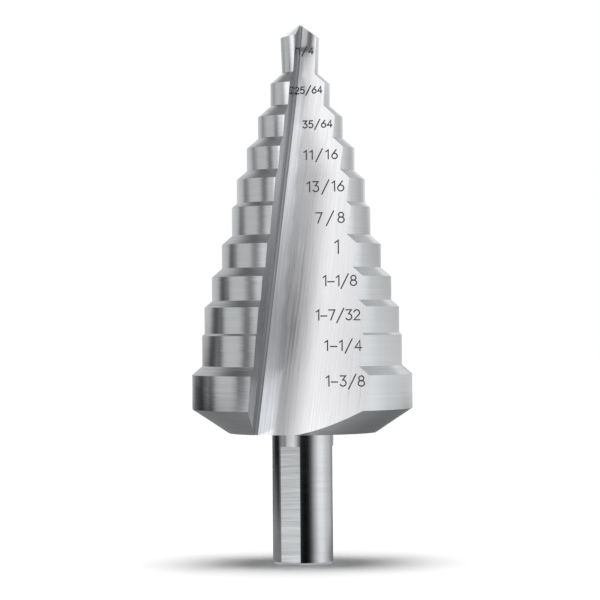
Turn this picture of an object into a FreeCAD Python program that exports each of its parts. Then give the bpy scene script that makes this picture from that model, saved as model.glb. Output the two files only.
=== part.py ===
# Step drill: a stepped cone cutter ground from one bar, with two straight flutes and a three-flat shank.
# The origin is the centre of the shank's end face, +Z runs along the axis to the point, and
# -Y looks at the face of one flute. Lengths are in millimetres and angles in degrees.
import FreeCAD
import Part
import Sketcher
import math
import os

NODE = "step_drill"
INCH = 25.4
STEPS = 10
FLUTES = 2
SHANK_FLATS = 3

# Driving sizes
# Step 1 is the smallest, next to the pilot, and step 10 the largest, next to the shank.
SIZES = {
    # Shank, with its three flats for the chuck's jaws
    "shank_diameter": 3 / 8 * INCH,
    "shank_length": 20.35,
    "flat_length": 18.3,
    "flat_depth": 0.29,
    "flat_turn": 4.0,
    "shank_chamfer": 0.4,
    # Diameters across the cutting edges
    "pilot_diameter": 1 / 4 * INCH,
    "step_1_diameter": 25 / 64 * INCH,
    "step_2_diameter": 35 / 64 * INCH,
    "step_3_diameter": 11 / 16 * INCH,
    "step_4_diameter": 13 / 16 * INCH,
    "step_5_diameter": 7 / 8 * INCH,
    "step_6_diameter": 1 * INCH,
    "step_7_diameter": 9 / 8 * INCH,
    "step_8_diameter": 39 / 32 * INCH,
    "step_9_diameter": 5 / 4 * INCH,
    "step_10_diameter": 11 / 8 * INCH,
    # Steps along the axis
    "step_pitch": 5.04,
    "last_step_length": 6.7,
    "shoulder_angle": 49.0,
    "back_cone_height": 3.75,
    "back_cone_angle": 56.5,
    "pilot_length": 7.8,
    "pilot_back_taper": 2.3,
    # Relief of the lands: how far each land's own axis stands off the drill's axis
    "step_relief": 0.385,
    "pilot_relief": 0.15,
    "relief_turn": 8.0,
    # Point
    "point_angle": 118.0,
    "lip_relief_tilt": 5.5,
    "chisel_offset": 0.2,
    "chisel_lead": 10.0,
    # Flutes: the rake face is flat, and the broad face meets it at the flute's root
    "rake_turn": 10.5,
    "rake_lean": 5.12,
    "rake_cross_drop": 1.2,
    "web_thickness": 0.94,
    "flute_angle": 79.2,
    "flute_root_radius": 0.42,
    "root_break_drop": 10.4,
    "root_slope": 10.05,
    "root_bend_radius": 60.0,
}

# Heights, radii and angles that follow from the driving sizes
DERIVED = {
    "last_step_bottom": "=shank_length + back_cone_height",
    "pilot_bottom": "=last_step_bottom + last_step_length + %d * step_pitch" % (STEPS - 1),
    "tip_height": "=pilot_bottom + pilot_length",
    "lip_corner_height": "=tip_height - pilot_diameter / 2 / tan(point_angle / 2)",
    "rake_cross": "=tip_height - rake_cross_drop",
    "grinding_half_angle": "=acos(cos(point_angle / 2) * cos(lip_relief_tilt)) / 1 deg",
    "flank_half_angle": "=grinding_half_angle - lip_relief_tilt",
}

# Room that the grinding tools have past the finished faces
FLUTE_OVERRUN = 6.0
POINT_STOCK = 1.0
FLAT_OVERCUT = 1.0


# Document and sheet

doc = FreeCAD.newDocument("StepDrill")
sheet = doc.addObject("Spreadsheet::Sheet", "Sizes")
for row, (alias, content) in enumerate({**SIZES, **DERIVED}.items(), start=1):
    sheet.set("A%d" % row, alias)
    sheet.set("B%d" % row, str(content))
    sheet.setAlias("B%d" % row, alias)
doc.recompute()

body = doc.addObject("PartDesign::Body", "StepDrill")
body.Label = NODE
doc.recompute()


# Helpers for sketches and features

START = 1
END = 2
ORIGIN = (-1, START)
AXIS_ACROSS = -1
AXIS_UP = -2


def size(alias):
    return float(sheet.get(alias))


def point(across, up):
    return FreeCAD.Vector(across, up, 0)


def origin_item(role):
    return next(item for item in body.Origin.OriginFeatures if item.Role == role)


def new_sketch(name, plane, placement=None):
    """A sketch on one of the body's origin planes, set on it by an expression."""
    sketch = body.newObject("Sketcher::SketchObject", name)
    sketch.AttachmentSupport = [(origin_item(plane), "")]
    sketch.MapMode = "FlatFace"
    if placement:
        sketch.setExpression("AttachmentOffset", placement)
    doc.recompute()
    return sketch


def add_line(sketch, start, end):
    return sketch.addGeometry(Part.LineSegment(point(*start), point(*end)), False)


def add_mark(sketch, place):
    """A construction point, which carries dimensions but isn't part of the outline."""
    return sketch.addGeometry(Part.Point(point(*place)), True)


def constrain(sketch, kind, *places):
    sketch.addConstraint(Sketcher.Constraint(kind, *places))


def constrain_each(sketch, kind, lines):
    for line in lines:
        constrain(sketch, kind, line)


def add_outline(sketch, corners):
    """A closed outline of straight lines, where line n runs from corner n to the next one."""
    lines = []
    for start, end in zip(corners, corners[1:] + corners[:1]):
        lines.append(add_line(sketch, start, end))
    for line, following in zip(lines, lines[1:] + lines[:1]):
        constrain(sketch, "Coincident", line, END, following, START)
    return lines


def bind(sketch, kind, places, name, expression):
    """A named dimension that takes its value from the sheet."""
    value = float(sketch.evalExpression(expression))
    if kind == "Angle":
        value = math.radians(value)
    index = sketch.addConstraint(Sketcher.Constraint(kind, *places, value))
    sketch.renameConstraint(index, name)
    sketch.setExpression("Constraints." + name, expression)


def revolve(kind, name, sketch, angle, backwards=False):
    """A turned or grooved form about the sketch's upright axis."""
    feature = body.newObject(kind, name)
    feature.Profile = sketch
    feature.ReferenceAxis = (sketch, ["V_Axis"])
    feature.Angle = angle
    feature.Reversed = backwards
    doc.recompute()
    return feature


def repeat(feature, name, count):
    """Copies of a feature, evenly spaced round the drill's axis."""
    pattern = body.newObject("PartDesign::PolarPattern", name)
    pattern.Originals = [feature]
    pattern.Axis = (origin_item("Z_Axis"), [""])
    pattern.Angle = 360
    pattern.Occurrences = count
    body.Tip = pattern
    doc.recompute()
    return pattern


def expect_change(before, grows, name):
    """The volume after a feature, which has to have grown or shrunk by it."""
    after = body.Shape.Volume
    if (after > before) != grows or after == before:
        raise RuntimeError("%s changed the volume the wrong way: %.3f to %.3f" % (name, before, after))
    return after


# Stepped lands
# Each land is half a turned form. Its axis stands off the drill's axis towards its own cutting
# edge, so that the land falls away behind the edge.

def land_placement(relief):
    return (
        "placement(vector(0; 0; 0); rotation(vector(0; 1; 0); -Sizes.relief_turn))"
        " * placement(vector(Sizes.%s; 0; 0); rotation(vector(0; 0; 1); 0))" % relief
    )


def diameter_alias(number):
    return "step_%d_diameter" % number if number else "pilot_diameter"


def shoulder_height(number):
    larger = diameter_alias(number)
    smaller = diameter_alias(number - 1)
    return "(Sizes.%s - Sizes.%s) / 2 / tan(Sizes.shoulder_angle)" % (larger, smaller)


def step_length(number):
    return "Sizes.last_step_length" if number == STEPS else "Sizes.step_pitch"


def stepped_land():
    sketch = new_sketch("SteppedProfile", "YZ_Plane", land_placement("step_relief"))
    numbers = range(STEPS, 0, -1)
    relief = size("step_relief")
    back_spread = size("back_cone_height") * math.tan(math.radians(size("back_cone_angle")))
    last_radius = size(diameter_alias(STEPS)) / 2 - relief
    corners = [(0, size("shank_length")), (last_radius - back_spread, size("shank_length"))]
    height = size("last_step_bottom")
    for number in numbers:
        radius = size(diameter_alias(number)) / 2 - relief
        shoulder = float(sketch.evalExpression(shoulder_height(number)))
        following = height + float(sketch.evalExpression(step_length(number)))
        corners.append((radius, height))
        corners.append((radius, following - shoulder))
        height = following
    core_radius = size("pilot_diameter") / 4
    core_spread = size("pilot_diameter") / 2 - relief - core_radius
    core_rise = core_spread / math.tan(math.radians(size("shoulder_angle")))
    corners.append((core_radius, height + core_rise))
    corners.append((0, height + core_rise))

    lines = add_outline(sketch, corners)
    back_face, back_cone = lines[:2]
    cylinders = lines[2:-2:2]
    shoulders = lines[3:-2:2]
    core_face, axis = lines[-2:]
    constrain_each(sketch, "Horizontal", [back_face, core_face])
    constrain_each(sketch, "Vertical", cylinders)
    constrain(sketch, "PointOnObject", axis, START, AXIS_UP)
    constrain(sketch, "PointOnObject", axis, END, AXIS_UP)
    bind(sketch, "DistanceY", (*ORIGIN, back_face, START), "back_face_height", "Sizes.shank_length")
    bind(sketch, "DistanceY", (back_cone, START, back_cone, END), "back_cone_height",
         "Sizes.back_cone_height")
    bind(sketch, "DistanceX", (back_cone, START, back_cone, END), "back_cone_spread",
         "Sizes.back_cone_height * tan(Sizes.back_cone_angle)")
    for number, cylinder, shoulder in zip(numbers, cylinders, shoulders):
        bind(sketch, "DistanceX", (*ORIGIN, cylinder, START), "radius_%d" % number,
             "Sizes.%s / 2 - Sizes.step_relief" % diameter_alias(number))
        bind(sketch, "DistanceY", (cylinder, START, cylinder, END), "length_%d" % number,
             "%s - %s" % (step_length(number), shoulder_height(number)))
        if number > 1:
            bind(sketch, "DistanceY", (shoulder, START, shoulder, END), "shoulder_%d" % number,
                 shoulder_height(number))
    bind(sketch, "DistanceX", (*ORIGIN, core_face, START), "core_radius", "Sizes.pilot_diameter / 4")
    bind(sketch, "Angle", (shoulders[-1],), "first_shoulder_angle", "90 + Sizes.shoulder_angle")
    land = revolve("PartDesign::Revolution", "SteppedLand", sketch, 180, backwards=True)
    return repeat(land, "SteppedLands", FLUTES)


def pilot_land():
    sketch = new_sketch("PilotProfile", "YZ_Plane", land_placement("pilot_relief"))
    lip_radius = size("pilot_diameter") / 2 - size("pilot_relief")
    lip_height = size("lip_corner_height")
    low = size("pilot_bottom") - size("step_pitch")
    high = size("tip_height") + POINT_STOCK
    taper = math.tan(math.radians(size("pilot_back_taper")))
    low_radius = lip_radius - (lip_height - low) * taper
    high_radius = lip_radius + (high - lip_height) * taper
    lines = add_outline(sketch, [(0, low), (low_radius, low), (high_radius, high), (0, high)])
    bottom, side, top, axis = lines
    lip_corner = add_mark(sketch, (lip_radius, lip_height))
    constrain_each(sketch, "Horizontal", [bottom, top])
    constrain(sketch, "PointOnObject", axis, START, AXIS_UP)
    constrain(sketch, "PointOnObject", axis, END, AXIS_UP)
    constrain(sketch, "PointOnObject", lip_corner, START, side)
    bind(sketch, "DistanceX", (*ORIGIN, lip_corner, START), "lip_radius",
         "Sizes.pilot_diameter / 2 - Sizes.pilot_relief")
    bind(sketch, "DistanceY", (*ORIGIN, lip_corner, START), "lip_height", "Sizes.lip_corner_height")
    bind(sketch, "DistanceY", (*ORIGIN, bottom, START), "low", "Sizes.pilot_bottom - Sizes.step_pitch")
    bind(sketch, "DistanceY", (*ORIGIN, top, END), "high", "Sizes.tip_height + %g" % POINT_STOCK)
    bind(sketch, "Angle", (side,), "back_taper", "90 - Sizes.pilot_back_taper")
    land = revolve("PartDesign::Revolution", "PilotLand", sketch, 180, backwards=True)
    return repeat(land, "PilotLands", FLUTES)


# Point
# Both flanks are cones whose axis is tilted about the lip, which relieves the lip behind its edge.
# Where the two flanks cross, they leave the chisel edge over the web.

def point_flanks():
    placement = (
        "placement(vector(0; 0; 0); rotation(vector(0; 1; 0); Sizes.chisel_lead - Sizes.rake_turn))"
        " * placement(vector(-Sizes.chisel_offset;"
        " Sizes.tip_height + Sizes.chisel_offset / tan(Sizes.flank_half_angle); 0);"
        " rotation(vector(0; 0; 1); -Sizes.lip_relief_tilt))"
    )
    sketch = new_sketch("FlankProfile", "XZ_Plane", placement)
    reach = size("pilot_diameter")
    foot = -reach / math.tan(math.radians(size("grinding_half_angle")))
    corners = [(0, 0), (reach, foot), (reach, reach), (0, reach)]
    flank, side, top, axis = add_outline(sketch, corners)
    constrain(sketch, "Horizontal", top)
    constrain(sketch, "Vertical", side)
    constrain(sketch, "PointOnObject", axis, START, AXIS_UP)
    constrain(sketch, "Coincident", axis, END, *ORIGIN)
    bind(sketch, "Angle", (flank,), "flank_angle", "Sizes.grinding_half_angle - 90")
    bind(sketch, "DistanceX", (*ORIGIN, side, START), "reach_across", "Sizes.pilot_diameter")
    bind(sketch, "DistanceY", (*ORIGIN, side, END), "reach_up", "Sizes.pilot_diameter")
    flank = revolve("PartDesign::Groove", "PointFlank", sketch, 360)
    return repeat(flank, "PointFlanks", FLUTES)


# Shank

def shank():
    sketch = new_sketch("ShankProfile", "XZ_Plane")
    radius = size("shank_diameter") / 2
    chamfer = size("shank_chamfer")
    top = size("last_step_bottom")
    corners = [(0, 0), (radius - chamfer, 0), (radius, chamfer), (radius, top), (0, top)]
    end_face, bevel, side, core_face, axis = add_outline(sketch, corners)
    constrain_each(sketch, "Horizontal", [end_face, core_face])
    constrain_each(sketch, "Vertical", [side, axis])
    constrain(sketch, "Coincident", end_face, START, *ORIGIN)
    bind(sketch, "DistanceX", (*ORIGIN, side, START), "radius", "Sizes.shank_diameter / 2")
    bind(sketch, "DistanceX", (bevel, START, bevel, END), "chamfer_across", "Sizes.shank_chamfer")
    bind(sketch, "DistanceY", (bevel, START, bevel, END), "chamfer_up", "Sizes.shank_chamfer")
    bind(sketch, "DistanceY", (*ORIGIN, side, END), "top", "Sizes.last_step_bottom")
    return revolve("PartDesign::Revolution", "Shank", sketch, 360)


def shank_flats():
    """Three flats, each with the end chamfer carried along its foot."""
    placement = "placement(vector(0; 0; 0); rotation(vector(0; 1; 0); Sizes.flat_turn))"
    sketch = new_sketch("FlatProfile", "XZ_Plane", placement)
    radius = size("shank_diameter") / 2
    inner = radius - size("flat_depth")
    outer = radius + FLAT_OVERCUT
    chamfer = size("shank_chamfer")
    length = size("flat_length")
    corners = [(inner - chamfer, 0), (outer, 0), (outer, length), (inner, length), (inner, chamfer)]
    foot, outside, top, inside, bevel = add_outline(sketch, corners)
    constrain_each(sketch, "Horizontal", [foot, top])
    constrain_each(sketch, "Vertical", [outside, inside])
    constrain(sketch, "PointOnObject", foot, START, AXIS_ACROSS)
    bind(sketch, "DistanceX", (*ORIGIN, inside, START), "flat_distance",
         "Sizes.shank_diameter / 2 - Sizes.flat_depth")
    bind(sketch, "DistanceX", (*ORIGIN, outside, START), "outside",
         "Sizes.shank_diameter / 2 + %g" % FLAT_OVERCUT)
    bind(sketch, "DistanceY", (*ORIGIN, top, END), "flat_length", "Sizes.flat_length")
    bind(sketch, "DistanceX", (bevel, END, bevel, START), "chamfer_across", "Sizes.shank_chamfer")
    bind(sketch, "DistanceY", (bevel, END, bevel, START), "chamfer_up", "Sizes.shank_chamfer")
    flat = body.newObject("PartDesign::Pocket", "ShankFlat")
    flat.Profile = sketch
    flat.Type = "Length"
    flat.Midplane = True
    flat.setExpression("Length", "Sizes.shank_diameter")
    doc.recompute()
    return repeat(flat, "ShankFlats", SHANK_FLATS)


# Flutes
# A wheel with a V rim is drawn down the drill. Its flat side grinds the rake face, and its rim
# follows the root, which runs beside the web at the point and then slopes out to the back face.
# In both sketches "across" is the distance from the drill's axis within the rake face.

def flute_path():
    placement = (
        "placement(vector(0; Sizes.rake_cross; 0);"
        " rotation(0; 90 - Sizes.rake_turn; -Sizes.rake_lean))"
    )
    sketch = new_sketch("FlutePath", "XZ_Plane", placement)
    lean = math.cos(math.radians(size("rake_lean")))
    slope = math.radians(size("root_slope"))
    bend = size("root_bend_radius")
    web = size("web_thickness") / 2
    high = size("rake_cross_drop") + FLUTE_OVERRUN
    turning = (size("rake_cross_drop") - size("root_break_drop")) / lean
    low = (size("shank_length") - size("rake_cross") - FLUTE_OVERRUN) / lean
    bend_start = turning + bend * math.tan(slope / 2)
    bend_end = (web + bend * (1 - math.cos(slope)), bend_start - bend * math.sin(slope))
    beside_web = add_line(sketch, (web, high), (web, bend_start))
    circle = Part.Circle(point(web + bend, bend_start), FreeCAD.Vector(0, 0, 1), bend)
    curve = sketch.addGeometry(Part.ArcOfCircle(circle, math.pi, math.pi + slope), False)
    outward = add_line(sketch, bend_end, (web + (turning - low) * math.tan(slope), low))
    break_mark = add_mark(sketch, (web, turning))
    constrain(sketch, "Vertical", beside_web)
    constrain(sketch, "Tangent", beside_web, END, curve, START)
    constrain(sketch, "Tangent", curve, END, outward, START)
    constrain(sketch, "PointOnObject", break_mark, START, beside_web)
    constrain(sketch, "PointOnObject", break_mark, START, outward)
    bind(sketch, "DistanceX", (*ORIGIN, beside_web, START), "web_half", "Sizes.web_thickness / 2")
    bind(sketch, "DistanceY", (*ORIGIN, beside_web, START), "high",
         "Sizes.rake_cross_drop + %g" % FLUTE_OVERRUN)
    bind(sketch, "Radius", (curve,), "bend_radius", "Sizes.root_bend_radius")
    bind(sketch, "Angle", (outward,), "root_slope", "Sizes.root_slope - 90")
    bind(sketch, "DistanceY", (*ORIGIN, break_mark, START), "root_break",
         "(Sizes.rake_cross_drop - Sizes.root_break_drop) / cos(Sizes.rake_lean)")
    bind(sketch, "DistanceY", (*ORIGIN, outward, END), "low",
         "(Sizes.shank_length - Sizes.rake_cross - %g) / cos(Sizes.rake_lean)" % FLUTE_OVERRUN)
    return sketch


def flute_section():
    placement = (
        "placement(vector(0; 0; Sizes.rake_cross); rotation(90 - Sizes.rake_turn; 0; -Sizes.rake_lean))"
        " * placement(vector(0; 0; Sizes.rake_cross_drop + %g); rotation(vector(0; 0; 1); 0))"
        % FLUTE_OVERRUN
    )
    sketch = new_sketch("FluteSection", "XY_Plane", placement)
    angle = math.radians(size("flute_angle"))
    radius = size("flute_root_radius")
    reach = size(diameter_alias(STEPS))
    web = size("web_thickness") / 2
    setback = radius / math.tan(angle / 2)
    rake_foot = (web + setback, 0)
    broad_foot = (web + setback * math.cos(angle), setback * math.sin(angle))
    rake_end = (web + reach, 0)
    broad_end = (web + reach * math.cos(angle), reach * math.sin(angle))
    rake_side = add_line(sketch, rake_foot, rake_end)
    outside = add_line(sketch, rake_end, broad_end)
    broad_side = add_line(sketch, broad_foot, broad_end)
    circle = Part.Circle(point(web + setback, radius), FreeCAD.Vector(0, 0, 1), radius)
    root = sketch.addGeometry(Part.ArcOfCircle(circle, math.pi / 2 + angle, 3 * math.pi / 2), False)
    corner = add_mark(sketch, (web, 0))
    constrain(sketch, "Coincident", rake_side, END, outside, START)
    constrain(sketch, "Coincident", outside, END, broad_side, END)
    constrain(sketch, "Tangent", root, END, rake_side, START)
    constrain(sketch, "Tangent", root, START, broad_side, START)
    constrain(sketch, "PointOnObject", rake_side, START, AXIS_ACROSS)
    constrain(sketch, "PointOnObject", rake_side, END, AXIS_ACROSS)
    constrain(sketch, "PointOnObject", corner, START, AXIS_ACROSS)
    constrain(sketch, "PointOnObject", corner, START, broad_side)
    bind(sketch, "DistanceX", (*ORIGIN, corner, START), "web_half", "Sizes.web_thickness / 2")
    bind(sketch, "Angle", (broad_side,), "flute_angle", "Sizes.flute_angle")
    bind(sketch, "Radius", (root,), "root_radius", "Sizes.flute_root_radius")
    bind(sketch, "DistanceX", (corner, START, rake_side, END), "rake_reach",
         "Sizes." + diameter_alias(STEPS))
    bind(sketch, "Distance", (corner, START, broad_side, END), "broad_reach",
         "Sizes." + diameter_alias(STEPS))
    return sketch


def flutes():
    path = flute_path()
    section = flute_section()
    flute = body.newObject("PartDesign::SubtractivePipe", "Flute")
    flute.Profile = section
    flute.Spine = (path, ["Edge1", "Edge2", "Edge3"])
    flute.Mode = "Standard"
    flute.Transition = "Transformed"
    doc.recompute()
    return repeat(flute, "Flutes", FLUTES)


# Build and export

volume = 0.0
for build_feature, grows in (
    (stepped_land, True),
    (pilot_land, True),
    (point_flanks, False),
    (shank, True),
    (shank_flats, False),
    (flutes, False),
):
    build_feature()
    volume = expect_change(volume, grows, build_feature.__name__)

for item in doc.Objects:
    if "Invalid" in item.State or "Error" in item.State:
        raise RuntimeError("%s failed: %s" % (item.Name, item.State))
shape = body.Shape
if shape.isNull() or not shape.isValid() or len(shape.Solids) != 1:
    raise RuntimeError("the drill isn't one valid solid")

os.makedirs("parts", exist_ok=True)
shape.exportStep(os.path.join("parts", NODE + ".step"))
bounds = shape.BoundBox
print("%s: %d faces, %.1f mm3" % (NODE, len(shape.Faces), shape.Volume))
print("x %.3f to %.3f, y %.3f to %.3f, z %.3f to %.3f" % (
    bounds.XMin, bounds.XMax, bounds.YMin, bounds.YMax, bounds.ZMin, bounds.ZMax))
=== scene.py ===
import math

import bpy
import numpy as np
from mathutils import Matrix, Vector
from mathutils.bvhtree import BVHTree


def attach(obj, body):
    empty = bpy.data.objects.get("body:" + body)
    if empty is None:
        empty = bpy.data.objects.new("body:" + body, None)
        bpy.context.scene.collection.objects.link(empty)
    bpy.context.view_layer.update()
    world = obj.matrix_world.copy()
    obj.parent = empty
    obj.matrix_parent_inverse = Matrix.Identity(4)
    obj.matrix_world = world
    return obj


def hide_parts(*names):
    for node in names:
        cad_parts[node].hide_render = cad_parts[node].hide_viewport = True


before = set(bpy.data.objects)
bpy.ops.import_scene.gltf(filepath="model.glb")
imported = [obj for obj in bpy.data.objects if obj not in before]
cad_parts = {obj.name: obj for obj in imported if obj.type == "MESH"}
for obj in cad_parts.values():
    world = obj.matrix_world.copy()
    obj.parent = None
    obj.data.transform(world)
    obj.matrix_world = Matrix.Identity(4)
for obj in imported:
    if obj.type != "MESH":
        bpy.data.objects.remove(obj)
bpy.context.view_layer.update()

# The looks of a step drill: bright ground steel with its grinding lines, and the size numbers on
# the flute's broad face. Lengths are in metres in the drill's own frame, with +Z along its axis
# from the shank to the point and -Y towards the camera.

MM = 0.001
NODE = "step_drill"
BODY = "root"
scene = bpy.context.scene

# Drill

# Each land was turned about an axis of its own, off the drill's axis towards its cutting edge
STEP_RELIEF = 0.385 * MM
PILOT_RELIEF = 0.15 * MM
RELIEF_TURN = math.radians(8)
SHANK_LENGTH = 20.35 * MM
LIP_HEIGHT = 81.9 * MM

# How the surfaces are told apart. A flat one keeps nearly all of its normals' length in their mean,
# a turned one's normals point away from its axis, and the rise of the mean says which way it looks.
FLAT_MEAN = 0.985
TURNED_FIT = 0.999
LEAST_REACH = 0.1
FACED_RISE = -0.9
LEANING_RISE = 0.5


def surfaces(mesh):
    """The polygons of each surface. No two surfaces share a vertex."""
    owner = list(range(len(mesh.vertices)))

    def root(vertex):
        while owner[vertex] != vertex:
            owner[vertex] = owner[owner[vertex]]
            vertex = owner[vertex]
        return vertex

    for polygon in mesh.polygons:
        first = root(polygon.vertices[0])
        for vertex in polygon.vertices[1:]:
            owner[root(vertex)] = first
    found = {}
    for polygon in mesh.polygons:
        found.setdefault(root(polygon.vertices[0]), []).append(polygon)
    return list(found.values())


def area_mean(polygons, quantity):
    """The mean normal or center of the polygons, each counted by its area."""
    total = Vector((0, 0, 0))
    for polygon in polygons:
        total += getattr(polygon, quantity) * polygon.area
    return total / sum(polygon.area for polygon in polygons)


def turning_axes():
    """Where the axes of the turned surfaces stand: the drill's own, and those of the lands."""
    towards_edge = Vector((-math.sin(RELIEF_TURN), -math.cos(RELIEF_TURN), 0))
    axes = [Vector((0, 0, 0))]
    for relief in (STEP_RELIEF, PILOT_RELIEF):
        axes += [towards_edge * relief, -towards_edge * relief]
    return axes


def turned_fit(polygons, axis):
    """How well the surface's normals point away from an axis, from -1 to 1."""
    total = 0
    area = 0
    for polygon in polygons:
        across = polygon.normal.xy
        if across.length > LEAST_REACH:
            total += polygon.area * across.normalized().dot((polygon.center - axis).xy.normalized())
            area += polygon.area
    return total / area if area else 0


def turned_kind(height, rise):
    """What a turned surface is, from its middle's height and its mean normal's rise."""
    if height < SHANK_LENGTH:
        return "shank"
    if rise < -LEANING_RISE:
        return "back_cone"
    return "shoulder" if rise > LEANING_RISE else "land"


def other_kind(height, rise, flat):
    """What any other surface is: a part of the point, a flat of the shank or a part of a flute."""
    if height > LIP_HEIGHT and rise > LEANING_RISE:
        return "point"
    if height < SHANK_LENGTH:
        return "shank_flat"
    if not flat:
        return "root"
    return "broad" if rise > 0 else "rake"


def kind_of(polygons):
    """What a surface is on the drill, and the axis that it was turned about, if it was turned."""
    normal = area_mean(polygons, "normal")
    height = area_mean(polygons, "center").z
    flat = normal.length > FLAT_MEAN
    if flat and normal.z < FACED_RISE:
        return "faced", Vector((0, 0, 0))
    axis = max(turning_axes(), key=lambda place: turned_fit(polygons, place))
    if not flat and turned_fit(polygons, axis) > TURNED_FIT:
        return turned_kind(height, normal.z), axis
    return other_kind(height, normal.z, flat), None


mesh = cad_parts[NODE].data.copy()
mesh.name = "drill"
mesh.materials.clear()
drill = bpy.data.objects.new("drill", mesh)
scene.collection.objects.link(drill)
drill_surfaces = [(polygons, *kind_of(polygons)) for polygons in surfaces(mesh)]


def near_normal(kind):
    """The normal of the near flute's largest surface of that kind."""
    near = []
    for polygons, name, axis in drill_surfaces:
        if name == kind and area_mean(polygons, "normal").y < 0:
            near.append(polygons)
    largest = max(near, key=lambda polygons: sum(polygon.area for polygon in polygons))
    return area_mean(largest, "normal").normalized()


NEAR_RAKE = near_normal("rake")
NEAR_BROAD = near_normal("broad")


def grain_frame(normal, kind):
    """The directions across and along the grinding lines of a flat surface."""
    side = Matrix.Rotation(math.pi if normal.y > 0 else 0, 3, "Z")
    if kind in ("shank_flat", "point"):
        along = Vector((0, 0, 1)).cross(normal).normalized()
    elif kind == "rake":
        along = (side @ NEAR_BROAD).cross(normal).normalized()
    else:
        along = normal.cross(side @ NEAR_RAKE).normalized()
    return along.cross(normal).normalized(), along


KINDS = ("land", "shoulder", "back_cone", "faced", "shank", "shank_flat", "rake", "root", "broad", "point")
grain = mesh.uv_layers.new(name="grain")
normals = [corner.vector.copy() for corner in mesh.corner_normals]


def corner_place(loop):
    return mesh.vertices[mesh.loops[loop].vertex_index].co


def lay_flat_grain(polygons, kind):
    """Lays straight grain on a surface, with its distance across from the surface's first edge."""
    across, along = grain_frame(area_mean(polygons, "normal").normalized(), kind)
    corners = {vertex for polygon in polygons for vertex in polygon.vertices}
    start = min(mesh.vertices[vertex].co.dot(across) for vertex in corners)
    for polygon in polygons:
        for loop in polygon.loop_indices:
            place = corner_place(loop)
            grain.data[loop].uv = (place.dot(across) - start, place.dot(along))


def lay_turned_grain(polygons, axis):
    """Lays grain round the axis of a turned surface, and gives the surface its exact normals."""
    rise = area_mean(polygons, "normal").z
    reach = math.sqrt(max(0, 1 - rise * rise))
    for polygon in polygons:
        middle = (polygon.center - axis).xy
        for loop in polygon.loop_indices:
            place = corner_place(loop)
            out = (place - axis).xy
            turn = middle.angle_signed(out, 0) if out.length > 0 else 0
            heading = math.atan2(middle.y, middle.x) - turn
            grain.data[loop].uv = (place.z * reach - out.length * rise, heading * out.length)
            if out.length > 0:
                direction = out.normalized()
                normals[loop] = Vector((direction.x * reach, direction.y * reach, rise))


for polygons, kind, axis in drill_surfaces:
    for polygon in polygons:
        polygon.material_index = KINDS.index(kind)
        polygon.use_smooth = True
    if axis is None:
        lay_flat_grain(polygons, kind)
    else:
        lay_turned_grain(polygons, axis)
mesh.normals_split_custom_set(normals)


# Materials

STEEL_TINT = (0.974, 1.0, 1.026)
BRIGHT_TINT = (1.0, 1.0, 1.026)

# The noise that makes the grinding lines and the streaks: the levels of it between which the steel
# goes from dark to bright, and from its roughest to its smoothest, as shares of its roughness
NOISE_ROUGHNESS = 0.6
LINE_DETAIL = 3.0
STREAK_DETAIL = 4.0
LINE_LEVELS = (0.35, 0.65)
STREAK_LEVELS = (0.35, 0.62)
ROUGH_LEVELS = (0.3, 0.7)
ROUGH_SHARES = (1.2, 0.85)
WANDER_ALONG = 0.02

# The curve that the wheel leaves on the broad face beside the root. Its tilt, its width and its
# shift towards the root follow the height, in stops of (millimetres, value) up to the highest that
# a stop may have. The tilt is whole up to the near distance off the root and gone at the far one,
# and the width multiplies both distances.
HOLLOW_TILT = (
    (60, 0.115), (66, 0.085), (71, 0.06), (76, 0.06), (78.3, 0.08), (79.4, 0.11), (80.5, 0.45), (81, 0.48),
)
HOLLOW_WIDTH = ((60, 1.0), (70, 0.5), (77, 0.35), (79.4, 0.35), (80.5, 0.4))
HOLLOW_SHIFT = ((79.4, 0), (80.5, MM))
HOLLOW_NEAR = 3.0 * MM
HOLLOW_FAR = 9.0 * MM
STOPS_TOP = 84.0

# The flute's foot has a narrow facet beside the root, which has no such tilt. The tilt comes in
# between two heights above the facet, and between two distances off the root beside it.
FACET_HEIGHTS = (27.5 * MM, 31.0 * MM)
FACET_WIDTHS = (1.5 * MM, 3.3 * MM)


def link(tree, source, target):
    tree.links.new(source, target)


def new_node(tree, kind, **settings):
    node = tree.nodes.new(kind)
    for name, value in settings.items():
        setattr(node, name, value)
    return node


def maths(tree, operation, first, second):
    """The result of an operation on two values, each of which is a socket or a plain number."""
    node = new_node(tree, "ShaderNodeMath", operation=operation)
    for value, target in zip((first, second), node.inputs):
        if isinstance(value, (int, float)):
            target.default_value = value
        else:
            link(tree, value, target)
    return node.outputs["Value"]


def remap(tree, source, levels, results):
    """A smooth change from the first result to the second, between two levels of the source."""
    node = new_node(tree, "ShaderNodeMapRange", interpolation_type="SMOOTHSTEP")
    for name, number in zip(("From Min", "From Max", "To Min", "To Max"), (*levels, *results)):
        node.inputs[name].default_value = number
    link(tree, source, node.inputs["Value"])
    return node.outputs["Result"]


def centred(tree, noise, size):
    """Noise from 0 to 1, as a tilt either way of that size."""
    node = new_node(tree, "ShaderNodeMapRange", clamp=False)
    node.inputs["To Min"].default_value = -size
    node.inputs["To Max"].default_value = size
    link(tree, noise, node.inputs["Value"])
    return node.outputs["Result"]


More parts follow.
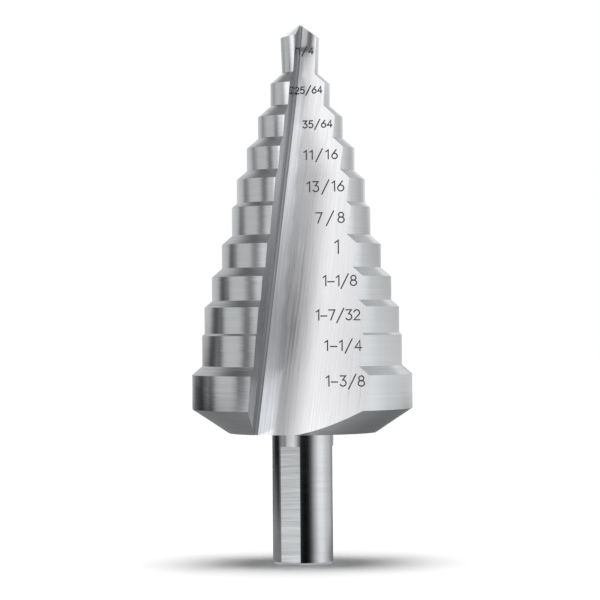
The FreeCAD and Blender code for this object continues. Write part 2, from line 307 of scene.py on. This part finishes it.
def grain_noise(tree, across, along, detail=LINE_DETAIL):
    """Noise that runs in lines along the grain: across and along are its cells to a millimetre."""
    lines = new_node(tree, "ShaderNodeUVMap", uv_map="grain")
    stretch = new_node(tree, "ShaderNodeVectorMath", operation="MULTIPLY")
    stretch.inputs[1].default_value = (across / MM, 0, 0)
    place = new_node(tree, "ShaderNodeTexCoord")
    slow = new_node(tree, "ShaderNodeVectorMath", operation="MULTIPLY_ADD")
    slow.inputs[1].default_value = (along / MM, along / MM, along / MM)
    noise = new_node(tree, "ShaderNodeTexNoise")
    noise.inputs["Scale"].default_value = 1
    noise.inputs["Detail"].default_value = detail
    noise.inputs["Roughness"].default_value = NOISE_ROUGHNESS
    link(tree, lines.outputs["UV"], stretch.inputs[0])
    link(tree, place.outputs["Object"], slow.inputs[0])
    link(tree, stretch.outputs["Vector"], slow.inputs[2])
    link(tree, slow.outputs["Vector"], noise.inputs["Vector"])
    return noise.outputs["Fac"]


def by_height(tree, height, stops):
    """A value that follows the height, between its stops."""
    ramp = new_node(tree, "ShaderNodeValToRGB")
    link(tree, maths(tree, "DIVIDE", height, STOPS_TOP * MM), ramp.inputs["Fac"])
    points = ramp.color_ramp.elements
    while len(points) < len(stops):
        points.new(1.0)
    for point, (place, value) in zip(points, stops):
        point.position = place / STOPS_TOP
        point.color = (value, value, value, 1)
    return ramp.outputs["Color"]


def hollow_tilt(tree):
    """The tilt of the hollow beside the root, but none on the narrow facet at the foot."""
    lines = new_node(tree, "ShaderNodeUVMap", uv_map="grain")
    grain_place = new_node(tree, "ShaderNodeSeparateXYZ")
    link(tree, lines.outputs["UV"], grain_place.inputs[0])
    off_root = grain_place.outputs["X"]
    place = new_node(tree, "ShaderNodeTexCoord")
    drill_place = new_node(tree, "ShaderNodeSeparateXYZ")
    link(tree, place.outputs["Object"], drill_place.inputs[0])
    height = drill_place.outputs["Z"]
    shifted = maths(tree, "ADD", off_root, by_height(tree, height, HOLLOW_SHIFT))
    distance = maths(tree, "DIVIDE", shifted, by_height(tree, height, HOLLOW_WIDTH))
    fading = remap(tree, distance, (HOLLOW_NEAR, HOLLOW_FAR), (1, 0))
    above_facet = remap(tree, height, FACET_HEIGHTS, (0, 1))
    beside_facet = remap(tree, off_root, FACET_WIDTHS, (0, 1))
    off_facet = maths(tree, "MAXIMUM", above_facet, beside_facet)
    level = by_height(tree, height, HOLLOW_TILT)
    return maths(tree, "MULTIPLY", level, maths(tree, "MULTIPLY", fading, off_facet))


def tilted_normal(tree, tangent, across_tilt, along_tilt):
    """The surface's normal, tilted by small amounts across and along the grain, where not None."""
    total = new_node(tree, "ShaderNodeNewGeometry").outputs["Normal"]
    along = new_node(tree, "ShaderNodeVectorMath", operation="CROSS_PRODUCT")
    link(tree, total, along.inputs[0])
    link(tree, tangent, along.inputs[1])
    for direction, amount in ((tangent, across_tilt), (along.outputs["Vector"], along_tilt)):
        if amount is None:
            continue
        scaled = new_node(tree, "ShaderNodeVectorMath", operation="SCALE")
        added = new_node(tree, "ShaderNodeVectorMath", operation="ADD")
        link(tree, direction, scaled.inputs[0])
        link(tree, amount, scaled.inputs["Scale"])
        link(tree, total, added.inputs[0])
        link(tree, scaled.outputs["Vector"], added.inputs[1])
        total = added.outputs["Vector"]
    whole = new_node(tree, "ShaderNodeVectorMath", operation="NORMALIZE")
    link(tree, total, whole.inputs[0])
    return whole.outputs["Vector"]


def ground_steel(name, tone, rough, anisotropy, fine, streaks, bump, wander=None, hollow=False, wave=0.0,
                 tint=STEEL_TINT):
    """Bright steel with fine grinding lines and broader streaks along them.

    fine and streaks are (cells to a millimetre across, along, how much they darken), and bump is
    the depth of the fine lines in millimetres. wander is (how far single lines turn the normal
    along the grain, their cells to a millimetre across), wave is how far the streaks tilt it
    across the grain, and hollow adds the curve of the flute beside the root."""
    fine_across, fine_along, fine_depth = fine
    streak_across, streak_along, streak_depth = streaks
    material = bpy.data.materials.new(name)
    material.use_nodes = True
    tree = material.node_tree
    shader = tree.nodes["Principled BSDF"]
    shader.inputs["Metallic"].default_value = 1
    shader.inputs["Anisotropic"].default_value = anisotropy
    lines = grain_noise(tree, fine_across, fine_along)
    bands = grain_noise(tree, streak_across, streak_along, STREAK_DETAIL)
    line_tone = remap(tree, lines, LINE_LEVELS, (1 - fine_depth, 1))
    band_tone = remap(tree, bands, STREAK_LEVELS, (1 - streak_depth, 1))
    colour = new_node(tree, "ShaderNodeVectorMath", operation="SCALE")
    colour.inputs[0].default_value = [tone * share for share in tint]
    link(tree, maths(tree, "MULTIPLY", line_tone, band_tone), colour.inputs["Scale"])
    link(tree, colour.outputs["Vector"], shader.inputs["Base Color"])
    roughness = remap(tree, bands, ROUGH_LEVELS, [rough * share for share in ROUGH_SHARES])
    link(tree, roughness, shader.inputs["Roughness"])
    tangent = new_node(tree, "ShaderNodeTangent", direction_type="UV_MAP", uv_map="grain").outputs["Tangent"]
    link(tree, tangent, shader.inputs["Tangent"])
    across_tilt = centred(tree, bands, wave) if wave else None
    if hollow:
        curve = hollow_tilt(tree)
        across_tilt = maths(tree, "ADD", curve, across_tilt) if wave else curve
    along_tilt = None
    if wander:
        size, wander_across = wander
        along_tilt = centred(tree, grain_noise(tree, wander_across, WANDER_ALONG), size)
    relief = new_node(tree, "ShaderNodeBump")
    relief.inputs["Distance"].default_value = bump * MM
    relief.inputs["Strength"].default_value = 1
    link(tree, lines, relief.inputs["Height"])
    if wave or hollow or wander:
        normal = tilted_normal(tree, tangent, across_tilt, along_tilt)
        link(tree, normal, relief.inputs["Normal"])
    link(tree, relief.outputs["Normal"], shader.inputs["Normal"])
    return material


# The finish of each kind of surface, in the values that ground_steel takes. Some of the tones
# hold painted light and shade.
FINISHES_AND_PAINTED_LIGHT = {
    "land": dict(tone=0.86, rough=0.10, anisotropy=0.75, fine=(9, 0.03, 0.03), streaks=(1.8, 0.02, 0.03),
                 bump=0.001, wander=(0.04, 6)),
    "shoulder": dict(tone=0.80, rough=0.24, anisotropy=0.5, fine=(9, 0.03, 0.08), streaks=(1.8, 0.02, 0.06),
                     bump=0.002),
    # The back cone's rougher turned finish is its own, and its darker tone is painted shade on a face that
    # looks down.
    "back_cone": dict(tone=0.67, rough=0.28, anisotropy=0.5, fine=(8, 0.03, 0.06), streaks=(1.6, 0.02, 0.05),
                      bump=0.002),
    "faced": dict(tone=0.72, rough=0.28, anisotropy=0.5, fine=(8, 0.03, 0.1), streaks=(1.6, 0.02, 0.06),
                  bump=0.002),
    "shank": dict(tone=0.86, rough=0.10, anisotropy=0.5, fine=(6, 0.05, 0.04), streaks=(1.2, 0.05, 0.04),
                  bump=0.001),
    "shank_flat": dict(tone=0.79, rough=0.26, anisotropy=0.6, fine=(8, 0.25, 0.2), streaks=(1.8, 0.1, 0.16),
                       bump=0.002),
    "rake": dict(tone=0.72, rough=0.12, anisotropy=0.6, fine=(9, 0.03, 0.05), streaks=(1.6, 0.02, 0.05),
                 bump=0.002),
    # The root's rougher finish is its own, and its darker tone is painted shade along the crease of the
    # flute.
    "root": dict(tone=0.46, rough=0.55, anisotropy=0.4, fine=(9, 0.03, 0.1), streaks=(1.8, 0.02, 0.08),
                 bump=0.002),
    # The broad face's tone, brighter than the rest of the same steel, is a painted highlight.
    "broad": dict(tone=0.97, rough=0.15, anisotropy=0.6, fine=(9, 0.12, 0.06), streaks=(3.4, 0.09, 0.12),
                  bump=0.003, hollow=True, wave=0.055, tint=BRIGHT_TINT),
    "point": dict(tone=0.96, rough=0.22, anisotropy=0.5, fine=(9, 0.2, 0.05), streaks=(1.8, 0.1, 0.05),
                  bump=0.002),
}
for kind in KINDS:
    drill.data.materials.append(ground_steel("steel_" + kind, **FINISHES_AND_PAINTED_LIGHT[kind]))
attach(drill, BODY)
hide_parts(NODE)


# Numbers

# Each stroke is a flat ribbon with round ends, laid on the flute. The mitre of a sharp corner reaches
# no farther than half the stroke over MITRE_LIMIT. A glyph is (width, strokes) in units of its digit
# height, and an arc is (centre across, centre up, radius across, radius up, from, to).

STROKE = 0.2 * MM
LIFT = 0.006 * MM
MITRE_LIMIT = 0.5
ARC_STEPS = 20
CAP_STEPS = 6


def arc(across, up, wide, tall, start, end):
    points = []
    for step in range(ARC_STEPS + 1):
        turn = math.radians(start + (end - start) * step / ARC_STEPS)
        points.append((across + wide * math.cos(turn), up + tall * math.sin(turn)))
    return points


GLYPHS = {
    "1": (0.26, [[(0.0, 0.82), (0.26, 1.0), (0.26, 0.0)]]),
    "2": (0.6, [arc(0.3, 0.71, 0.28, 0.29, 165, -35) + [(0.02, 0.0), (0.6, 0.0)]]),
    "3": (0.6, [[(0.03, 1.0), (0.55, 1.0), (0.27, 0.6)] + arc(0.29, 0.3, 0.3, 0.3, 80, -150)]),
    "4": (0.64, [[(0.47, 0.0), (0.47, 1.0), (0.0, 0.28), (0.64, 0.28)]]),
    "5": (0.6, [[(0.54, 1.0), (0.12, 1.0), (0.06, 0.56)] + arc(0.28, 0.32, 0.31, 0.32, 125, -145)]),
    "6": (0.6, [[(0.47, 1.0)] + arc(0.3, 0.3, 0.3, 0.3, 150, 510)]),
    "7": (0.6, [[(0.0, 1.0), (0.6, 1.0), (0.2, 0.0)]]),
    "8": (0.6, [arc(0.3, 0.76, 0.24, 0.24, 90, 450), arc(0.3, 0.27, 0.3, 0.27, 90, 450)]),
    "-": (0.62, [[(0.0, 0.4), (0.62, 0.4)]]),
    "/": (0.72, [[(0.0, -0.28), (0.72, 1.16)]]),
}

# Left and right ends, foot and digit height of each number, in millimetres seen from the front
MARKS = {
    "1/4": (-0.34, 2.04, 79.21, 0.96),
    "25/64": (-0.83, 3.36, 73.05, 1.02),
    "35/64": (0.37, 4.86, 67.63, 1.09),
    "11/16": (0.51, 5.63, 62.68, 1.37),
    "13/16": (0.94, 6.57, 57.62, 1.54),
    "7/8": (2.26, 6.58, 52.75, 1.56),
    "1": (5.12, 5.80, 48.00, 2.00),
    "1-1/8": (3.29, 8.35, 43.05, 1.54),
    "1-7/32": (2.18, 8.78, 37.83, 1.52),
    "1-1/4": (3.47, 8.99, 33.20, 1.50),
    "1-3/8": (3.62, 9.36, 27.81, 1.54),
}
CAST_FROM = -30 * MM

dependencies = bpy.context.evaluated_depsgraph_get()
surface_tree = BVHTree.FromObject(drill, dependencies)


def on_flute(across, up):
    """The point of the near flute at that place seen from the front, lifted clear of the steel."""
    hit, normal = surface_tree.ray_cast(Vector((across, CAST_FROM, up)), Vector((0, 1, 0)))[:2]
    return hit + normal * LIFT


def to_the_left(heading):
    return Vector((-heading.y, heading.x))


def add_ribbon(points, vertices, faces):
    """A ribbon along points in the front view, as quads with mitred corners and round caps."""
    half = STROKE / 2
    path = [Vector(point) for point in points]
    headings = [(after - before).normalized() for before, after in zip(path, path[1:])]
    left = []
    right = []
    for index, point in enumerate(path):
        before = headings[max(index - 1, 0)]
        after = headings[min(index, len(headings) - 1)]
        side = to_the_left((before + after).normalized())
        spread = half / max(MITRE_LIMIT, abs(side.dot(to_the_left(after))))
        left.append(point + side * spread)
        right.append(point - side * spread)
    start = len(vertices)
    for place in left + right:
        vertices.append(on_flute(place.x, place.y))
    count = len(path)
    for corner in range(start, start + count - 1):
        faces.append((corner, corner + count, corner + count + 1, corner + 1))
    for point, heading in ((path[0], path[0] - path[1]), (path[-1], path[-1] - path[-2])):
        facing = math.atan2(heading.y, heading.x)
        first = len(vertices)
        for step in range(CAP_STEPS + 1):
            turn = facing - math.pi / 2 + math.pi * step / CAP_STEPS
            vertices.append(on_flute(point.x + half * math.cos(turn), point.y + half * math.sin(turn)))
        faces.append(tuple(range(first, first + CAP_STEPS + 1)))


def number_mesh(text, left, right, foot, height):
    """The strokes of one number, with the gaps between its glyphs set so that it fills its width."""
    widths = [GLYPHS[letter][0] for letter in text]
    gaps = len(text) - 1
    gap = ((right - left) / height - sum(widths)) / gaps if gaps else 0
    vertices = []
    faces = []
    across = left
    for letter, width in zip(text, widths):
        for stroke in GLYPHS[letter][1]:
            points = [((across + x * height) * MM, (foot + y * height) * MM) for x, y in stroke]
            add_ribbon(points, vertices, faces)
        across += (width + gap) * height
    made = bpy.data.meshes.new("number")
    made.from_pydata(vertices, [], faces)
    return made


# The marking's two tones, and the cells of its specks to a millimetre
INK_DARK = (0.045, 0.046, 0.05, 1)
INK_PALE = (0.11, 0.11, 0.115, 1)
INK_SPECKS = 6
INK_METALLIC = 0.2
INK_ROUGHNESS = 0.55


def ink():
    """The dark, matt tone that the marking leaves on the steel."""
    material = bpy.data.materials.new("number_marking")
    material.use_nodes = True
    tree = material.node_tree
    shader = tree.nodes["Principled BSDF"]
    shader.inputs["Metallic"].default_value = INK_METALLIC
    shader.inputs["Roughness"].default_value = INK_ROUGHNESS
    place = new_node(tree, "ShaderNodeTexCoord")
    noise = new_node(tree, "ShaderNodeTexNoise")
    noise.inputs["Scale"].default_value = INK_SPECKS / MM
    link(tree, place.outputs["Object"], noise.inputs["Vector"])
    ramp = new_node(tree, "ShaderNodeValToRGB")
    ramp.color_ramp.elements[0].color = INK_DARK
    ramp.color_ramp.elements[1].color = INK_PALE
    link(tree, noise.outputs["Fac"], ramp.inputs["Fac"])
    link(tree, ramp.outputs["Color"], shader.inputs["Base Color"])
    return material


marking = ink()
for text, (left, right, foot, height) in MARKS.items():
    name = "number_" + text.replace("/", "_over_").replace("-", "_and_")
    number = bpy.data.objects.new(name, number_mesh(text, left, right, foot, height))
    number.data.materials.append(marking)
    scene.collection.objects.link(number)
    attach(number, BODY)


# Floor

FLOOR_SIZE = 4.0
FLOOR_TONE = 0.8
FLOOR_GLOW = 0.06


def seen_directly(tree):
    """1 for rays that come from the camera, a mirror or a glass, and 0 for scattered light."""
    path = new_node(tree, "ShaderNodeLightPath")
    total = path.outputs["Is Camera Ray"]
    for name in ("Is Glossy Ray", "Is Transmission Ray"):
        total = maths(tree, "MAXIMUM", total, path.outputs[name])
    return total


def floor_material():
    """A pale matt floor that also glows a little where it is seen, so that it meets the white."""
    material = bpy.data.materials.new("pale_floor")
    material.use_nodes = True
    tree = material.node_tree
    tree.nodes.remove(tree.nodes["Principled BSDF"])
    diffuse = new_node(tree, "ShaderNodeBsdfDiffuse")
    diffuse.inputs["Color"].default_value = (FLOOR_TONE, FLOOR_TONE, FLOOR_TONE, 1)
    glow = new_node(tree, "ShaderNodeEmission")
    both = new_node(tree, "ShaderNodeAddShader")
    link(tree, maths(tree, "MULTIPLY", seen_directly(tree), FLOOR_GLOW), glow.inputs["Strength"])
    link(tree, diffuse.outputs["BSDF"], both.inputs[0])
    link(tree, glow.outputs["Emission"], both.inputs[1])
    link(tree, both.outputs["Shader"], tree.nodes["Material Output"].inputs["Surface"])
    return material


FLOOR_CORNERS = ((-1, -1), (1, -1), (1, 1), (-1, 1))
floor_places = [(x * FLOOR_SIZE / 2, y * FLOOR_SIZE / 2, 0) for x, y in FLOOR_CORNERS]
floor_mesh = bpy.data.meshes.new("floor")
floor_mesh.from_pydata(floor_places, [], [(0, 1, 2, 3)])
floor = bpy.data.objects.new("floor", floor_mesh)
floor.data.materials.append(floor_material())
scene.collection.objects.link(floor)


# Light

# A white surround, a soft light from overhead that only shapes the floor's shadow, and a shell round
# the drill, out of the picture, that only the bright steel mirrors: the greys of a photographer's
# tent, its cards and the dark opening for the camera.

# The surround's brightness where it is seen or mirrored, and where it only lights matt things, and
# the overhead light's strength and the angle that it comes from
SURROUND = 1.0
SCATTERED = 0.2
OVERHEAD = 3.26
OVERHEAD_SPREAD = math.radians(42)

# The brightness round each ring of the shell, in stops of (azimuth, brightness). The azimuth is in
# degrees, turned from the camera's side to the drill's left. The first rings lie just above the
# floor, and the rings with a step's number stand where the lands of that step mirror them, counted
# from the point.
UNDER_CHAMFER = ((-180, 0.46), (180, 0.46))
NEAR_FLOOR = (
    (-180, 0.18), (-125, 0.18), (-95, 0.5), (-75, 0.8), (-60, 0.8), (-45, 0.45), (-30, 0.1), (-20, 0.015),
    (-8, 0.002), (8, 0.015), (24, 0.4), (36, 1.0), (60, 1.0), (72, 0.3), (90, 0.2), (180, 0.25),
)
MID_FLOOR = (
    (-180, 0.18), (-150, 0.18), (-134, 0.2), (-122, 0.5), (-95, 0.66), (-75, 0.86), (-60, 0.84), (-45, 0.46),
    (-30, 0.11), (-20, 0.015), (-8, 0.002), (8, 0.015), (24, 0.6), (36, 1.05), (60, 1.05), (72, 0.3),
    (96, 0.2), (106, 0.16), (116, 0.24), (150, 0.26), (180, 0.34),
)
FAR_FLOOR = (
    (-180, 0.3), (-150, 0.36), (-132, 0.3), (-120, 0.46), (-95, 0.64), (-75, 0.88), (-60, 0.84), (-45, 0.5),
    (-30, 0.12), (-20, 0.015), (-8, 0.002), (8, 0.015), (22, 0.5), (36, 0.78), (60, 0.78), (74, 0.3),
    (96, 0.15), (105, 0.03), (115, 0.1), (126, 0.15), (150, 0.17), (180, 0.2),
)
FOOT = (
    (-180, 0.4), (-150, 0.4), (-132, 0.3), (-120, 0.46), (-95, 0.64), (-75, 0.88), (-60, 0.84), (-45, 0.5),
    (-30, 0.12), (-20, 0.015), (-8, 0.002), (8, 0.015), (22, 0.4), (36, 0.8), (60, 0.6), (70, 0.22),
    (80, 0.3), (96, 0.15), (103, 0.01), (118, 0.008), (128, 0.03), (136, 0.08), (146, 0.14), (180, 0.2),
)
STEP_10 = (
    (-180, 0.62), (-150, 0.64), (-120, 0.65), (-95, 0.72), (-75, 0.84), (-60, 0.82), (-45, 0.5), (-30, 0.14),
    (-20, 0.03), (8, 0.03), (20, 0.6), (34, 1.1), (42, 0.5), (49, 0.34), (53, 0.45), (57, 0.3), (60, 0.17),
    (66, 0.17), (70, 0.42), (75, 0.55), (90, 0.57), (96, 0.48), (100, 0.28), (105, 0.13), (112, 0.22),
    (118, 0.14), (123, 0.05), (129, 0.035), (135, 0.05), (141, 0.08), (147, 0.17), (153, 0.32), (160, 0.44),
    (172, 0.49), (180, 0.5),
)
STEP_9 = (
    (-180, 0.6), (-150, 0.58), (-120, 0.63), (-95, 0.7), (-75, 0.82), (-60, 0.82), (-45, 0.6), (-30, 0.36),
    (8, 0.3), (20, 0.5), (32, 1.1), (42, 0.55), (50, 0.4), (55, 0.48), (59, 0.3), (62, 0.18), (66, 0.18),
    (71, 0.42), (76, 0.53), (90, 0.54), (96, 0.48), (100, 0.3), (105, 0.14), (110, 0.18), (116, 0.09),
    (122, 0.06), (128, 0.11), (134, 0.26), (143, 0.34), (153, 0.42), (170, 0.52), (180, 0.54),
)
STEP_8 = (
    (-180, 0.6), (-150, 0.53), (-130, 0.58), (-95, 0.66), (-78, 0.82), (-60, 0.82), (-30, 0.4), (8, 0.34),
    (18, 0.4), (28, 1.1), (40, 1.0), (46, 0.5), (54, 0.56), (58, 0.4), (62, 0.19), (66, 0.19), (71, 0.38),
    (76, 0.53), (90, 0.55), (96, 0.51), (100, 0.38), (104, 0.16), (110, 0.14), (115, 0.08), (121, 0.12),
    (127, 0.28), (133, 0.48), (141, 0.55), (165, 0.56), (180, 0.6),
)
STEP_6 = (
    (-180, 0.6), (-155, 0.5), (-140, 0.46), (-120, 0.51), (-96, 0.62), (-84, 0.9), (-60, 0.9), (-35, 1.3),
    (-25, 1.5), (-5, 1.4), (3, 0.42), (14, 0.3), (26, 0.34), (38, 1.1), (44, 1.0), (48, 0.7), (54, 0.76),
    (60, 0.56), (65, 0.32), (70, 0.26), (74, 0.36), (79, 0.5), (96, 0.5), (102, 0.43), (107, 0.26),
    (113, 0.16), (118, 0.12), (123, 0.2), (129, 0.44), (137, 0.5), (160, 0.57), (180, 0.62),
)
STEP_4 = (
    (-180, 0.8), (-155, 0.75), (-140, 0.52), (-128, 0.46), (-110, 0.57), (-98, 0.64), (-88, 0.9), (-60, 0.9),
    (-35, 1.0), (-25, 1.0), (-5, 0.95), (3, 0.36), (14, 0.26), (27, 0.28), (40, 1.32), (44, 1.25),
    (48, 0.7), (51, 0.45), (54, 0.5), (59, 0.38), (64, 0.18), (69, 0.2), (74, 0.42), (79, 0.52), (96, 0.51),
    (102, 0.44), (107, 0.3), (113, 0.24), (118, 0.26), (124, 0.48), (131, 0.56), (150, 0.64), (180, 0.72),
)
STEP_2 = (
    (-180, 0.8), (-155, 0.75), (-145, 0.6), (-128, 0.5), (-110, 0.6), (-104, 0.7), (-98, 0.85), (-84, 0.5),
    (-72, 0.7), (-60, 0.75), (-40, 0.5), (-25, 0.5), (-5, 0.46), (3, 0.2), (14, 0.2), (27, 0.26),
    (40, 1.14), (45, 1.1), (49, 0.66), (56, 0.62), (62, 0.36), (66, 0.18), (70, 0.2), (75, 0.4), (80, 0.51),
    (100, 0.51), (110, 0.42), (116, 0.36), (121, 0.24), (127, 0.35), (135, 0.47), (150, 0.57), (180, 0.66),
)
STEP_1 = (
    (-180, 0.9), (-140, 0.68), (-125, 0.66), (-112, 0.64), (-100, 0.62), (-88, 0.5), (-76, 0.44), (-60, 0.6),
    (-40, 0.55), (-25, 0.56), (-5, 0.53), (3, 0.13), (14, 0.11), (27, 0.12), (40, 1.1), (46, 1.1),
    (51, 1.3), (57, 1.15), (63, 0.82), (69, 0.58), (75, 0.48), (82, 0.5), (100, 0.52), (118, 0.4),
    (124, 0.36), (140, 0.48), (155, 0.56), (180, 0.62),
)
TIP = (
    (-180, 0.95), (-165, 0.95), (-147, 0.95), (-120, 0.9), (-85, 0.6), (-60, 0.6), (-40, 0.75), (-25, 0.78),
    (-5, 0.76), (3, 0.18), (14, 0.12), (27, 0.19), (40, 1.1), (50, 1.2), (58, 1.0), (64, 0.85), (70, 0.7),
    (76, 0.55), (83, 0.46), (100, 0.55), (118, 0.48), (140, 0.5), (155, 0.56), (165, 0.75), (180, 0.95),
)
ABOVE = (
    (-180, 1.0), (-165, 0.7), (-150, 0.52), (-120, 0.6), (-90, 0.8), (-35, 1.2), (-5, 1.25), (3, 0.5),
    (14, 0.36), (27, 0.42), (40, 1.1), (60, 1.1), (80, 0.7), (110, 0.55), (154, 0.56), (165, 0.85),
    (180, 1.0),
)
UPPER = (
    (-180, 1.0), (-165, 0.75), (-150, 0.58), (-120, 0.6), (-90, 0.8), (-35, 1.0), (-5, 1.0), (3, 0.5),
    (14, 0.4), (27, 0.46), (40, 1.1), (60, 1.1), (80, 0.7), (110, 0.5), (130, 0.26), (137, 0.29),
    (146, 0.42), (156, 0.64), (162, 1.15), (180, 1.25),
)
HIGH = (
    (-180, 1.0), (-165, 0.7), (-150, 0.55), (-120, 0.5), (-60, 0.85), (-12, 0.85), (0, 0.3), (20, 0.3),
    (30, 1.1), (60, 1.0), (80, 0.6), (110, 0.25), (118, 0.06), (136, 0.08), (150, 0.3), (160, 0.8),
    (180, 1.0),
)
CEILING = ((-180, 0.6), (-150, 0.75), (-40, 0.75), (10, 0.3), (100, 0.24), (150, 0.24), (180, 0.6))


def drawn_in(stops, share):
    """The same ring close to the shank, where a mirrored ray has turned less far round it."""
    return tuple((azimuth * share, brightness) for azimuth, brightness in stops)


# The shell's rings from the shank outwards, up and back in over the point. Each is its radius and
# height in millimetres and its brightness.
SHELL_RADIUS = 160
SHELL_FLOOR = 0.03
SHELL_STEPS = 180
SHELL = (
    (3.8, SHELL_FLOOR, UNDER_CHAMFER),
    (4.9, SHELL_FLOOR, UNDER_CHAMFER),
    (5.0, SHELL_FLOOR, drawn_in(NEAR_FLOOR, 0.54)),
    (5.2, SHELL_FLOOR, drawn_in(NEAR_FLOOR, 0.54)),
    (10, SHELL_FLOOR, drawn_in(NEAR_FLOOR, 0.85)),
    (30, SHELL_FLOOR, NEAR_FLOOR),
    (80, SHELL_FLOOR, MID_FLOOR),
    (140, SHELL_FLOOR, FAR_FLOOR),
    (SHELL_RADIUS, SHELL_FLOOR, FAR_FLOOR),
    (SHELL_RADIUS, 8, FOOT),
    (SHELL_RADIUS, 16, FOOT),
    (SHELL_RADIUS, 23, STEP_10),
    (SHELL_RADIUS, 31, STEP_9),
    (SHELL_RADIUS, 39, STEP_8),
    (SHELL_RADIUS, 52, STEP_6),
    (SHELL_RADIUS, 65, STEP_4),
    (SHELL_RADIUS, 79, STEP_2),
    (SHELL_RADIUS, 88, STEP_1),
    (SHELL_RADIUS, 100, TIP),
    (SHELL_RADIUS, 125, ABOVE),
    (SHELL_RADIUS, 165, UPPER),
    (SHELL_RADIUS, 210, HIGH),
    (SHELL_RADIUS, 262, HIGH),
    (130, 275, CEILING),
    (1, 285, CEILING),
)


def brightness_at(stops, azimuth):
    """The brightness of a ring at an azimuth, between its stops."""
    azimuths, levels = zip(*stops)
    return float(np.interp(azimuth, azimuths, levels))


def shell_material():
    """A glow as bright as the ring's own brightness."""
    material = bpy.data.materials.new("studio_shell")
    material.use_nodes = True
    tree = material.node_tree
    tree.nodes.remove(tree.nodes["Principled BSDF"])
    glow = new_node(tree, "ShaderNodeEmission")
    brightness = new_node(tree, "ShaderNodeAttribute", attribute_name="brightness")
    link(tree, brightness.outputs["Fac"], glow.inputs["Strength"])
    link(tree, glow.outputs["Emission"], tree.nodes["Material Output"].inputs["Surface"])
    return material


shell_mesh = bpy.data.meshes.new("studio_shell")
shell_places = []
shell_tones = []
for radius, height, stops in SHELL:
    for step in range(SHELL_STEPS + 1):
        azimuth = -180 + 360 * step / SHELL_STEPS
        turn = math.radians(azimuth)
        shell_places.append((-radius * MM * math.sin(turn), -radius * MM * math.cos(turn), height * MM))
        shell_tones.append(brightness_at(stops, azimuth))
shell_faces = []
row = SHELL_STEPS + 1
for ring in range(len(SHELL) - 1):
    for step in range(SHELL_STEPS):
        corner = ring * row + step
        shell_faces.append((corner, corner + 1, corner + row + 1, corner + row))
shell_mesh.from_pydata(shell_places, [], shell_faces)
shell_mesh.attributes.new("brightness", "FLOAT", "POINT").data.foreach_set("value", shell_tones)
shell_mesh.materials.append(shell_material())
shell = bpy.data.objects.new("studio_shell", shell_mesh)
scene.collection.objects.link(shell)
shell.visible_camera = False
shell.visible_diffuse = False
shell.visible_shadow = False
shell.visible_transmission = False
shell.visible_volume_scatter = False

lamp = bpy.data.lights.new("overhead", "SUN")
lamp.energy = OVERHEAD
lamp.angle = OVERHEAD_SPREAD
overhead = bpy.data.objects.new("overhead", lamp)
overhead.visible_glossy = False
scene.collection.objects.link(overhead)

world = bpy.data.worlds.new("surround")
scene.world = world
world.use_nodes = True
tree = world.node_tree
background = tree.nodes["Background"]
background.inputs["Color"].default_value = (1, 1, 1, 1)
level = new_node(tree, "ShaderNodeMapRange")
level.inputs["To Min"].default_value = SCATTERED
level.inputs["To Max"].default_value = SURROUND
link(tree, seen_directly(tree), level.inputs["Value"])
link(tree, level.outputs["Result"], background.inputs["Strength"])

scene.view_settings.view_transform = "Standard"


# Camera

# The photograph's viewpoint, and its scale at the drill's axis
CAMERA_PLACE = Vector((0, -420 * MM, 37.85 * MM))
CAMERA_TARGET = Vector((-0.276 * MM, 0, 40.97 * MM))
CAMERA_ROLL = -0.0074
PICTURE_WIDTH = 600
PIXELS_TO_A_MM = 6.42
FRAME_WIDTH = PICTURE_WIDTH / PIXELS_TO_A_MM * MM
CLIP_START = 10 * MM

lens = bpy.data.cameras.new("camera")
lens.angle = 2 * math.atan(FRAME_WIDTH / 2 / -CAMERA_PLACE.y)
lens.clip_start = CLIP_START
camera = bpy.data.objects.new("camera", lens)
facing = (CAMERA_TARGET - CAMERA_PLACE).to_track_quat("-Z", "Y").to_matrix().to_4x4()
camera.matrix_world = Matrix.Translation(CAMERA_PLACE) @ facing @ Matrix.Rotation(CAMERA_ROLL, 4, "Z")
scene.collection.objects.link(camera)
scene.camera = camera
